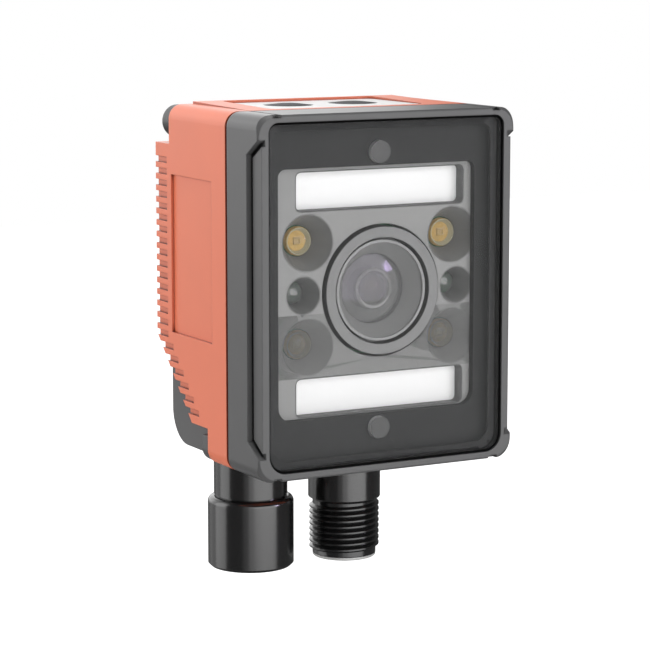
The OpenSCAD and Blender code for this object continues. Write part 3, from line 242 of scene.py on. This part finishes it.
MATERIALS = {
    # Housing: painted near-black shade in its creases and gaps, and in its side grooves
    "housing": surface("housing_grey", (0.086, 0.086, 0.087), 0.3, edge=0.25, wear=0.1, bump=0.008, speck=0.012,
                       rough_span=0.015, zone=grooves_painted_shade, crease_shade_reach=1.0, crease_shade_colour=grey(0.005)),
    # Cover: painted red-brown shade in its fin slots and creases
    "cover": surface("cover_orange", (0.85, 0.21, 0.108), 0.34, edge=0.25, wear=0.25, wear_colour=(0.92, 0.31, 0.2),
                     bump=0.01, tint=0.02, speck=0.008, rough_span=0.02, crease_shade_reach=1.7,
                     crease_shade_colour=(0.2, 0.024, 0.008)),
    "shield": surface("shield_dark", (0.028, 0.028, 0.0285), 0.6, bump=0.02, speck=0.01, spec=0.1),
    "plate": surface("plate_grey", (0.275, 0.275, 0.272), 0.6, bump=0.1, edge=0.2, tint=0.03),
    "cup": surface("cup_grey", (0.185, 0.185, 0.183), 0.45, bump=0.06, tint=0.03),
    "white": surface("white_diffuser", grey(0.97), 0.45, tint=0.01, speck=0.01, bump=0.04),
    # Dark grey sheets on the light bars' pocket walls: painted shade
    "pocket_shade": surface("pocket_wall_shade", grey(0.12), 0.55, bump=0.06),
    # Lens ring: painted shade on its side walls
    "ring": surface("lens_grey", grey(0.2), 0.45, edge=0.2, bump=0.03, tint=0.03, zone=walls_painted_shade),
    "barrel": surface("lens_black", grey(0.22), 0.6, edge=0.15, bump=0.06, tint=0.03, zone=pale_rim),
    "stop": surface("stop_black", grey(0.225), 0.6, edge=0.15, bump=0.06, tint=0.03),
    "stop_ring": surface("stop_ring", grey(0.27), 0.4, bump=0.03, tint=0.03),
    # Shield pins: painted highlight on their side walls
    "pin": surface("pin_grey", grey(0.062), 0.45, bump=0.03, zone=walls_painted_highlight),
    "rubber": surface("black_rubber", (0.008, 0.007, 0.007), 0.8, bump=0.2, spec=0.15),
    # Near-black sheet in the gap round the pane: painted shade
    "gap_shade": surface("gap_shade_black", grey(0.003), 0.7, bump=0.1, spec=0.05),
    "mask": surface("mask_dark", (0.045, 0.045, 0.046), 0.6, bump=0.01, speck=0.01, spec=0.1),
    "dark_steel": surface("dark_steel", (0.06, 0.06, 0.062), 0.35, metal=0.6, edge=0.2, wear=0.4,
                          wear_colour=grey(0.3), bump=0.05),
    "steel": surface("bright_steel", grey(0.6), 0.3, metal=1.0, edge=0.2, bump=0.05, brushed=(1, 1, 8)),
    "connector": surface("connector_dark", (0.006, 0.006, 0.0062), 0.2, spec=1.0, ior=1.5, bump=0.006, grain=3200.0,
                         speck=0.02, rough_span=0.02),
    # Pale metal on the plug's end: a bare rim, and also a painted highlight on its edge
    "rim": surface("rim_steel_sheen", (0.55, 0.55, 0.54), 0.4, metal=0.4, bump=0.04),
    "insert": surface("insert_black", (0.02, 0.02, 0.021), 0.5, bump=0.08),
    "gold": surface("gold_contact", (0.8, 0.55, 0.2), 0.25, metal=1.0, bump=0.04),
    "panel": surface("panel_white", grey(0.84), 0.4, tint=0.02, speck=0.01, bump=0.06),
    "smoked": surface("smoked_lens", (0.075, 0.075, 0.077), 0.5, bump=0.02, spec=0.15),
    "board": surface("board_green", (0.03, 0.14, 0.06), 0.4, bump=0.1, coat=0.3),
    "chip": surface("chip_black", grey(0.02), 0.5, bump=0.1),
    "emitter": surface("emitter", (0.85, 0.8, 0.66), 0.45, bump=0.05),
    "phosphor": surface("led_phosphor", (0.6, 0.37, 0.085), 0.5, bump=0.2, tint=0.22, cloud=1100.0),
    "die": surface("led_die", (0.42, 0.27, 0.07), 0.35, bump=0.08),
    # Pale reflector wall, coloured pale also as a painted highlight on the dome
    "reflector_highlight": surface("led_reflector_highlight", (0.46, 0.45, 0.34), 0.35, bump=0.02),
    "pad": surface("pad_grey", (0.45, 0.47, 0.5), 0.85, bump=0.25),
    "flex": surface("flex_amber", (0.35, 0.16, 0.03), 0.4, bump=0.05),
    "pane": surface("clear_pane", (0.5, 0.51, 0.51), 0.08, alpha=0.03, bump=0.01, rough_span=0.02, tint=0.02,
                    spec=0.2),
    "film": surface("film", (0.36, 0.362, 0.36), 0.3, alpha=0.13, bump=0.02, rough_span=0.03, tint=0.02, spec=0.2),
    "dome": surface("amber_dome", (0.4, 0.34, 0.2), 0.07, alpha=0.22, bump=0.0, rough_span=0.01, spec=1.0, ior=1.5,
                    speck=0.0),
    "clear": surface("clear_lens", (0.22, 0.225, 0.22), 0.07, alpha=0.5, bump=0.0, rough_span=0.01, spec=1.0,
                     ior=1.8, speck=0.0),
    "glass": surface("lens_glass", (0.3, 0.302, 0.3), 0.05, alpha=0.3, bump=0.0, rough_span=0.005, spec=1.0,
                     speck=0.0, spec_tint=(0.85, 0.75, 1.0)),
    "inner": surface("inner_glass", (0.2, 0.195, 0.19), 0.05, alpha=0.45, bump=0.0, rough_span=0.005, spec=1.0,
                     speck=0.0, spec_tint=(1.0, 0.88, 0.8)),
}

# Which nodes wear which material
WORN = {
    "housing": ("front_housing", "connector_housing"),
    "cover": ("heat_sink_cover",),
    "shield": ("light_shield",),
    "plate": ("light_plate",),
    "cup": ("light_cups", "aiming_cups"),
    "white": ("upper_light_bar", "lower_light_bar"),
    "ring": ("lens_holder",),
    "barrel": ("lens_barrel",),
    "stop": ("aperture_stop",),
    "pin": ("shield_pins",),
    "rubber": ("cover_seal", "connector_seals"),
    "mask": ("window_gasket",),
    "dark_steel": ("cover_screws",),
    "steel": ("front_spacers", "rear_spacers", "board_screws", "tongue_screws", "connector_nuts"),
    "connector": ("socket_shell", "plug_shell"),
    "insert": ("socket_insert", "plug_insert"),
    "gold": ("socket_contacts", "plug_pins"),
    "panel": ("top_panel",),
    "board": ("light_board", "sensor_board", "main_board", "status_board", "connector_board"),
    "chip": ("image_sensor", "processor"),
    "emitter": ("bar_emitters", "status_emitters", "board_link"),
    "pad": ("heat_pad",),
    "flex": ("flex_tail",),
    "pane": ("window_pane",),
    "film": ("polarizing_film",),
    "glass": ("rear_glass",),
}
for key, names in WORN.items():
    for name in names:
        mesh = nodes[name].data
        mesh.materials.clear()
        mesh.materials.append(MATERIALS[key])


# Meshes

def piece(name, bm, mat, smooth_deg=35.0):
    mesh = bpy.data.meshes.new(name)
    bmesh.ops.recalc_face_normals(bm, faces=bm.faces)
    bm.to_mesh(mesh)
    bm.free()
    for face in mesh.polygons:
        face.use_smooth = True
    mesh.set_sharp_from_angle(angle=math.radians(smooth_deg))
    mesh.materials.append(mat)
    obj = bpy.data.objects.new(name, mesh)
    scene.collection.objects.link(obj)
    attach(obj, "root")
    return obj


def bridge(bm, a, b):
    """A closed band of faces between two rings of equal length."""
    for k in range(len(a)):
        j = (k + 1) % len(a)
        bm.faces.new((a[k], a[j], b[j], b[k]))


def loop_solid(bm, loops):
    """A closed band through loops of equal length, each a list of points."""
    rings = [[bm.verts.new(p) for p in loop] for loop in loops]
    for a, b in zip(rings, rings[1:] + rings[:1]):
        bridge(bm, a, b)


# Plug shell with its fine thread, a true helix: all sizes in mm, heights above the plug's end

PITCH = 1.0
TURN_STEPS = 96
THREAD_STEPS = 8 * TURN_STEPS
THREAD_LOW, THREAD_HIGH = 0.7, 9.76
HELIX_LOW = THREAD_LOW + 0.02
ROOT_R, CREST_R = 5.45, 6.0
CREST_FROM, CREST_TO = 0.37, 0.63
CHAMFER_STEP, CHAMFER_SLOPE = 0.08, 0.6
BORE_R, MOUTH_R, COLLAR_R, NECK_R = 4.25, 4.9, 6.2, 5.4
MOUTH_DEPTH = 8.0
# Height of the pale rim at the plug's end, partly a painted highlight
PALE_RIM_RISE = 0.45
PLUG_SMOOTH = 28.0
plug_low, plug_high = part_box("plug_shell")
plug_mid = (plug_low + plug_high) / 2
plug_top = (plug_high.z - plug_low.z) / MM
collar_top = plug_top - 6.3
PLUG_MOUTH = ((BORE_R, MOUTH_DEPTH), (MOUTH_R, MOUTH_DEPTH), (MOUTH_R, 0.3), (5.05, 0.0), (5.25, 0.0), (5.4, 0.15),
              (ROOT_R, 0.5), (ROOT_R, THREAD_LOW))
PLUG_NECK = ((ROOT_R, THREAD_HIGH), (ROOT_R, 9.9), (6.1, 10.3), (COLLAR_R, 10.45), (COLLAR_R, 10.5),
             (COLLAR_R, collar_top - 0.25), (COLLAR_R, collar_top - 0.2), (6.1, collar_top - 0.05),
             (NECK_R, collar_top), (NECK_R, plug_top), (BORE_R, plug_top))


def plug_point(bm, radius, height, step):
    """A vertex of the plug, some steps round its axis."""
    angle = 2 * math.pi * step / TURN_STEPS
    return bm.verts.new((plug_mid.x + radius * MM * math.cos(angle), plug_mid.y + radius * MM * math.sin(angle),
                         plug_low.z + height * MM))


def plug_rings(bm, rows):
    """Rings of the plug, joined one to the next."""
    rings = [[plug_point(bm, r, h, k) for k in range(TURN_STEPS)] for r, h in rows]
    for a, b in zip(rings, rings[1:]):
        bridge(bm, a, b)
    return rings


def crest(height):
    """The crest's radius, cut down by a chamfer at the end of the plug."""
    return min(CREST_R, ROOT_R + CHAMFER_STEP + (height - THREAD_LOW) * CHAMFER_SLOPE)


bm = bmesh.new()
lower = plug_rings(bm, PLUG_MOUTH)
upper = plug_rings(bm, PLUG_NECK)
bridge(bm, upper[-1], lower[0])
below, above = lower[-1], upper[0]
root = []
for k in range(THREAD_STEPS + TURN_STEPS + 1):
    root.append(plug_point(bm, ROOT_R, HELIX_LOW + PITCH * k / TURN_STEPS, k))
crest_low, crest_high = [], []
for k in range(THREAD_STEPS + 1):
    base = HELIX_LOW + PITCH * k / TURN_STEPS
    for line, part in ((crest_low, CREST_FROM), (crest_high, CREST_TO)):
        line.append(plug_point(bm, crest(base + part * PITCH), base + part * PITCH, k))
for k in range(THREAD_STEPS):
    bm.faces.new((root[k], root[k + 1], crest_low[k + 1], crest_low[k]))
    bm.faces.new((crest_low[k], crest_low[k + 1], crest_high[k + 1], crest_high[k]))
    bm.faces.new((crest_high[k], crest_high[k + 1], root[k + TURN_STEPS + 1], root[k + TURN_STEPS]))
# The first and last turn of the root join the plain rings, and the two ends of the crest are shut
last = TURN_STEPS - 1
for k in range(last):
    bm.faces.new((below[k], below[k + 1], root[k + 1], root[k]))
    bm.faces.new((root[THREAD_STEPS + k], root[THREAD_STEPS + k + 1], above[k + 1], above[k]))
bm.faces.new((below[last], below[0], root[0], root[TURN_STEPS], root[last]))
bm.faces.new((root[THREAD_STEPS + last], root[THREAD_STEPS + TURN_STEPS], above[0], above[last]))
bm.faces.new((root[0], crest_low[0], crest_high[0], root[TURN_STEPS]))
bm.faces.new((root[THREAD_STEPS], root[THREAD_STEPS + TURN_STEPS], crest_high[THREAD_STEPS],
              crest_low[THREAD_STEPS]))
plug = piece("plug_thread", bm, MATERIALS["connector"], PLUG_SMOOTH)
# The lowest faces get pale metal: the plug's bare rim, painted pale also as a highlight on its end edge
plug.data.materials.append(MATERIALS["rim"])
for face in plug.data.polygons:
    if face.center.z < plug_low.z + PALE_RIM_RISE * MM:
        face.material_index = 1
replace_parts(plug, "plug_shell")


# Dark sheets lining the pockets of the light bars, and a black sheet in the gap round the pane: both painted shade

POCKET_SHADE_T, POCKET_SHADE_D = 0.14, 1.98
POCKET_SHADE_BEVEL, POCKET_SHADE_FLARE = 0.08, 0.06
POCKET_SHADE_CORNER, POCKET_SHADE_CORNER_MIN = 1.0, 0.5
GAP_SHADE_FRONT = 0.25
GAP_SHADE_IN, GAP_SHADE_OUT = 0.02, 0.38
PANE_TOP_R, PANE_LOW_R = 1.3, 2.6


def rounded(low, high, y, inset, top_radius, low_radius, steps=8):
    """A rounded rectangle at depth y, as a list of points; inset and the radii are in mm."""
    points = []
    for sx, sz, start in ((1, 1, 0.0), (-1, 1, 90.0), (-1, -1, 180.0), (1, -1, 270.0)):
        radius = top_radius if sz > 0 else low_radius
        x = (high.x if sx > 0 else low.x) - sx * (inset + radius) * MM
        z = (high.z if sz > 0 else low.z) - sz * (inset + radius) * MM
        for k in range(steps + 1):
            angle = math.radians(start + 90.0 * k / steps)
            points.append((x + radius * MM * math.cos(angle), y, z + radius * MM * math.sin(angle)))
    return points


# Thin dark sheets along the pockets' walls, painted shade
bm = bmesh.new()
for name in ("upper_light_bar", "lower_light_bar"):
    low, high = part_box(name)
    front = low.y - POCKET_SHADE_D * MM
    loops = []
    for inset, y in ((0.0, low.y), (0.0, front), (POCKET_SHADE_T, front + POCKET_SHADE_BEVEL * MM), (POCKET_SHADE_T + POCKET_SHADE_FLARE, low.y)):
        corner = max(POCKET_SHADE_CORNER_MIN, POCKET_SHADE_CORNER - inset)
        loops.append(rounded(low, high, y, inset, corner, corner))
    loop_solid(bm, loops)
piece("bar_pocket_shade", bm, MATERIALS["pocket_shade"])

# A near-black sheet in the gap round the pane, painted shade in that gap
low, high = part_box("window_pane")
front = low.y + GAP_SHADE_FRONT * MM
bm = bmesh.new()
loop_solid(bm, [rounded(low, high, y, -grow, PANE_TOP_R + grow, PANE_LOW_R + grow)
                for grow, y in ((GAP_SHADE_IN, front), (GAP_SHADE_OUT, front), (GAP_SHADE_OUT, high.y), (GAP_SHADE_IN, high.y))])
piece("pane_gap_shade", bm, MATERIALS["gap_shade"])


# Round pieces

def spin(bm, profile, at, steps=64):
    """A closed solid turned about an axis: profile holds (radius, height) in metres, and radius 0 makes a pole."""
    rings = []
    for r, h in profile:
        turns = [0.0] if r == 0 else [2 * math.pi * k / steps for k in range(steps)]
        rings.append([bm.verts.new(at(r, t, h)) for t in turns])
    for a, b in zip(rings, rings[1:] + rings[:1]):
        if len(a) == len(b):
            if len(a) > 1:
                bridge(bm, a, b)
            continue
        for k in range(steps):
            j = (k + 1) % steps
            bm.faces.new((a[0], b[j], b[k]) if len(a) == 1 else (a[k], a[j], b[0]))


def along_depth(x, z):
    return lambda r, t, y: (x + r * math.cos(t), y, z + r * math.sin(t))


def along_height(x, y):
    return lambda r, t, z: (x + r * math.cos(t), y + r * math.sin(t), z)


def cap(radius, bulge, tip, sense=1, rows=14):
    """Profile of a ball's cap from its tip to its rim; sense is the way from the tip to the rim."""
    ball = (radius ** 2 + bulge ** 2) / (2 * bulge)
    points = [(0, tip)]
    for k in range(1, rows + 1):
        angle = math.asin(radius / ball) * k / rows
        points.append((ball * math.sin(angle), tip + sense * ball * (1 - math.cos(angle))))
    return points


def lights(node, radius):
    """The centres of a row or grid of equal round pieces."""
    low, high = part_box(node)
    xs = (low.x + radius, high.x - radius)
    zs = (low.z + radius, high.z - radius)
    if high.z - low.z < 3 * radius:
        zs = ((low.z + high.z) / 2,)
    return [(x, z) for x in xs for z in zs]


# Lights: a clear dome over a reflector cup with phosphor, and a square die in its middle; the cup's pale inner wall
# also stands in for a painted highlight on the dome

DOME_R = 2.5 * MM
DOME_FOOT = 0.6 * MM
CUP_GAP = 0.02 * MM
CUP_STEPS = 48
CUP_WALL_R, CUP_FLOOR = 2.2 * MM, 0.3 * MM
# Radius and height above the cup's back, in mm
CUP = ((0, 0.0), (2.35, 0.0), (2.35, 0.6), (2.2, 0.95), (2.08, 0.98), (1.65, 0.1), (0, 0.1))
# Half width and height above the cup's back, in mm
DIE = ((0.6, 0.0), (0.6, 0.35), (0.45, 0.4), (0.35, 0.25), (0.05, 0.25), (0.05, 0.0))
CORNERS = ((1, 1), (-1, 1), (-1, -1), (1, -1))

dome_low, dome_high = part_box("light_domes")
spots = lights("light_domes", DOME_R)
back = dome_high.y - CUP_GAP
domes = bmesh.new()
phosphor = bmesh.new()
dies = bmesh.new()
for x, z in spots:
    spin(domes, cap(DOME_R, dome_high.y - DOME_FOOT - dome_low.y, dome_low.y)
         + [(DOME_R, dome_high.y), (0, dome_high.y)], along_depth(x, z))
    spin(phosphor, [(r * MM, back - h * MM) for r, h in CUP], along_depth(x, z), CUP_STEPS)
    loop_solid(dies, [[(x + sx * half * MM, back - h * MM, z + sz * half * MM) for sx, sz in CORNERS]
                      for half, h in DIE])
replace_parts(piece("led_domes", domes, MATERIALS["dome"]), "light_domes")
cups = piece("led_phosphor", phosphor, MATERIALS["phosphor"])
# The cup's inner wall is pale: a reflector wall, and also a painted highlight on the dome
cups.data.materials.append(MATERIALS["reflector_highlight"])
for face in cups.data.polygons:
    away = min(math.hypot(face.center.x - x, face.center.z - z) for x, z in spots)
    if away < CUP_WALL_R and face.center.y < dome_high.y - CUP_FLOOR:
        face.material_index = 1
piece("led_dies", dies, MATERIALS["die"])

low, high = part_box("aiming_lenses")
aim_r = (high.z - low.z) / 2
bm = bmesh.new()
for x, z in lights("aiming_lenses", aim_r):
    spin(bm, cap(aim_r, high.y - DOME_FOOT - low.y, low.y) + [(aim_r, high.y), (0, high.y)], along_depth(x, z))
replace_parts(piece("aim_lenses", bm, MATERIALS["clear"]), "aiming_lenses")


# Front lens with a hollow back, and behind it the inner lens in a tube with a retaining clip

GLASS_EDGE = 1.2 * MM
GLASS_ROWS, GLASS_STEPS = 20, 128
HOLLOW_MARGIN, HOLLOW_BULGE, HOLLOW_TIP = 0.3 * MM, 0.8 * MM, 0.55 * MM
TUBE_FORWARD, TUBE_STEPS = 1.7 * MM, 72
# Radius and depth behind the tube's front, in mm
TUBE = ((2.62, 3.08), (2.62, 0.4), (2.9, 0.0), (3.3, 0.0), (3.45, 0.2), (3.45, 2.7))
INNER_R, INNER_BULGE, INNER_OUT, INNER_BACK = 2.5 * MM, 0.9 * MM, 0.2 * MM, 1.9 * MM
CLIP_ARC, CLIP_STEPS = (208.0, 334.0), 28
CLIP_R, CLIP_END, CLIP_SWELL = 2.98 * MM, 0.06, 0.27
# Share of the half width, and depth behind the tube's front in mm
CLIP_SECTION = ((-1, -0.03), (-0.5, -0.18), (0.5, -0.18), (1, -0.03))

low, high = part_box("front_glass")
glass_r = (high.x - low.x) / 2
hollow_r = glass_r - HOLLOW_MARGIN
lens_mid = (low + high) / 2
lens_axis = along_depth(lens_mid.x, lens_mid.z)
bm = bmesh.new()
hollow = cap(hollow_r, HOLLOW_BULGE, low.y + HOLLOW_TIP, rows=GLASS_ROWS)
spin(bm, cap(glass_r, high.y - GLASS_EDGE - low.y, low.y, rows=GLASS_ROWS)
     + [(glass_r, high.y), (hollow_r, high.y)] + hollow[::-1], lens_axis, GLASS_STEPS)
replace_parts(piece("front_lens", bm, MATERIALS["glass"]), "front_glass")

stop_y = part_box("aperture_stop")[0].y
tube_y = stop_y - TUBE_FORWARD
bm = bmesh.new()
spin(bm, cap(INNER_R, INNER_BULGE, tube_y - INNER_OUT)
     + [(INNER_R, stop_y + INNER_BACK), (0, stop_y + INNER_BACK)], lens_axis, TUBE_STEPS)
piece("inner_lens", bm, MATERIALS["inner"])
bm = bmesh.new()
spin(bm, [(r * MM, tube_y + y * MM) for r, y in TUBE], lens_axis, TUBE_STEPS)
piece("stop_ring", bm, MATERIALS["stop"])

bm = bmesh.new()
sections = []
for k in range(CLIP_STEPS + 1):
    share = k / CLIP_STEPS
    turn = math.radians(CLIP_ARC[0] + (CLIP_ARC[1] - CLIP_ARC[0]) * share)
    half = (CLIP_END + CLIP_SWELL * math.sin(math.pi * share) ** 0.5) * MM
    sections.append([bm.verts.new(lens_axis(CLIP_R + side * half, turn, tube_y + y * MM))
                     for side, y in CLIP_SECTION])
for a, b in zip(sections, sections[1:]):
    bridge(bm, a, b)
bm.faces.new(sections[0])
bm.faces.new(sections[-1][::-1])
piece("lens_clip", bm, MATERIALS["stop_ring"])


# Status lenses: flanged caps with a pit below for the emitter

STATUS_MARGIN, STATUS_BULGE = 0.9 * MM, 0.42 * MM
PIT_R, PIT_H = 2.2 * MM, 1.2 * MM
FOOT_H = 1.9 * MM

low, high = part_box("status_lenses")
flange_r = (high.y - low.y) / 2
status_r = flange_r - STATUS_MARGIN
bm = bmesh.new()
for x in (low.x + flange_r, high.x - flange_r):
    spin(bm, cap(status_r, STATUS_BULGE, high.z + STATUS_BULGE, -1)
         + [(status_r, low.z + FOOT_H), (flange_r, low.z + FOOT_H), (flange_r, low.z), (PIT_R, low.z),
            (PIT_R, low.z + PIT_H), (0, low.z + PIT_H)], along_height(x, (low.y + high.y) / 2))
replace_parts(piece("status_caps", bm, MATERIALS["smoked"]), "status_lenses")


# Lamps

BOX_REACH = 0.95
AIM_Y = -0.02
# Direction in degrees from the front, to the right; spread in degrees; lower and upper end; radiance
UPRIGHT_BOXES = (
    ("front_box", 13.5, 63.0, -0.33, 0.6, 2.35),
    ("front_fade", -25.5, 15.0, -0.33, 0.6, 1.2),
    ("front_edge", -40.5, 15.0, -0.33, 0.6, 0.35),
    ("side_box", -116.0, 38.0, -0.33, 0.8, 1.5),
    ("rear_side_box", -151.0, 32.0, -0.33, 0.6, 0.4),
    ("rear_box", 177.0, 57.0, 0.0, 0.5, 0.8),
)
TOP_AT, TOP_SIZE, TOP_POWER = (-0.05, 0.0, 1.0), 0.8, 6.5
SPOT_FROM_LENS, SPOT_R, SPOT_RADIANCE = (0.728, -0.663, 0.167), 0.085, 18.0
SPOT_COLOUR = (0.84, 0.72, 1.0)


def lamp(name, place, aim, shape, size, power):
    data = bpy.data.lights.new(name, "AREA")
    data.shape = shape
    data.size, data.size_y = size
    data.energy = power
    obj = bpy.data.objects.new(name, data)
    obj.location = place
    obj.rotation_euler = (Vector(aim) - Vector(place)).to_track_quat("-Z", "Y").to_euler()
    obj.visible_camera = False
    scene.collection.objects.link(obj)
    return obj


for name, turn, spread, low_end, high_end, radiance in UPRIGHT_BOXES:
    angle = math.radians(turn)
    z = (low_end + high_end) / 2
    place = (math.sin(angle) * BOX_REACH, AIM_Y - math.cos(angle) * BOX_REACH, z)
    size = (2 * BOX_REACH * math.tan(math.radians(spread / 2)), high_end - low_end)
    lamp(name, place, (0.0, AIM_Y, z), "RECTANGLE", size, radiance * math.pi * size[0] * size[1])
lamp("top_box", TOP_AT, (0.0, AIM_Y, 0.0), "RECTANGLE", (TOP_SIZE, TOP_SIZE), TOP_POWER)
# A small lamp that only gloss shows, as the highlight on the lens
spot = lamp("key_spot", lens_mid + Vector(SPOT_FROM_LENS), lens_mid, "DISK", (2 * SPOT_R, 2 * SPOT_R),
            SPOT_RADIANCE * math.pi * math.pi * SPOT_R ** 2)
spot.data.color = SPOT_COLOUR
spot.visible_diffuse = False


# White background and pale floor: gloss and glass see a white backdrop behind the left shoulder, in a dim room

WHITE = (1, 1, 1, 1)
BACKDROP = (-0.47, 0.883, 0.0)
BACKDROP_FROM, BACKDROP_TO = 0.49, 0.57
ROOM, AMBIENT = 0.12, 0.26
FLOOR_HALF, FLOOR_DROP = 3.0, 0.3
FLOOR_COLOUR = (0.8, 0.8, 0.8, 1)
FLOOR_IN_GLOSS = 0.25
GLOW_NEAR, GLOW_FAR, GLOW_LEAST = 0.6, 1.0, 0.6


def in_gloss(net, path):
    return net.math("MAXIMUM", path["Is Glossy Ray"], path["Is Transmission Ray"])


def backdrop(net, direction, bright):
    """What gloss sees in a direction: the room, or the bright backdrop."""
    facing = net.vector("DOT_PRODUCT", direction, BACKDROP)["Value"]
    return net.span(facing, BACKDROP_FROM, BACKDROP_TO, ROOM, bright)


world = bpy.data.worlds.new("studio")
scene.world = world
net = Net(world)
path = net.add("ShaderNodeLightPath").outputs
seen = in_gloss(net, path)
mirrored = backdrop(net, net.add("ShaderNodeTexCoord").outputs["Generated"], 1.0)
soft = net.math("ADD", net.math("MULTIPLY", seen, mirrored),
                net.math("MULTIPLY", net.math("SUBTRACT", 1.0, seen), AMBIENT))
level = net.math("MAXIMUM", path["Is Camera Ray"], soft)
net.end("ShaderNodeOutputWorld", net.add("ShaderNodeBackground", {"Color": WHITE, "Strength": level}))

floor_z = cad_box[0].z - FLOOR_DROP
floor_mesh = bpy.data.meshes.new("floor")
floor_mesh.from_pydata([(FLOOR_HALF * sx, FLOOR_HALF * sy, floor_z) for sx, sy in CORNERS], [], [(0, 1, 2, 3)])
floor = bpy.data.objects.new("floor", floor_mesh)
scene.collection.objects.link(floor)
pale = bpy.data.materials.new("pale_floor")
net = Net(pale)
path = net.add("ShaderNodeLightPath").outputs
where = net.add("ShaderNodeNewGeometry").outputs["Position"]
away = net.vector("LENGTH", where)["Value"]
toward = net.vector("NORMALIZE", where)[0]
mirrored = net.add("ShaderNodeEmission", {"Color": WHITE, "Strength": backdrop(net, toward, FLOOR_IN_GLOSS)})
viewed = net.math("MULTIPLY", path["Is Camera Ray"], net.span(away, GLOW_NEAR, GLOW_FAR, GLOW_LEAST, 1.0))
matt = net.add("ShaderNodeBsdfDiffuse", {"Color": FLOOR_COLOUR})
glow = net.add("ShaderNodeEmission", {"Color": WHITE, "Strength": viewed})
both = net.add("ShaderNodeAddShader", {0: matt.outputs[0], 1: glow.outputs[0]})
net.end("ShaderNodeOutputMaterial", net.add("ShaderNodeMixShader", {
    0: in_gloss(net, path), 1: both.outputs[0], 2: mirrored.outputs[0]}))
floor_mesh.materials.append(pale)
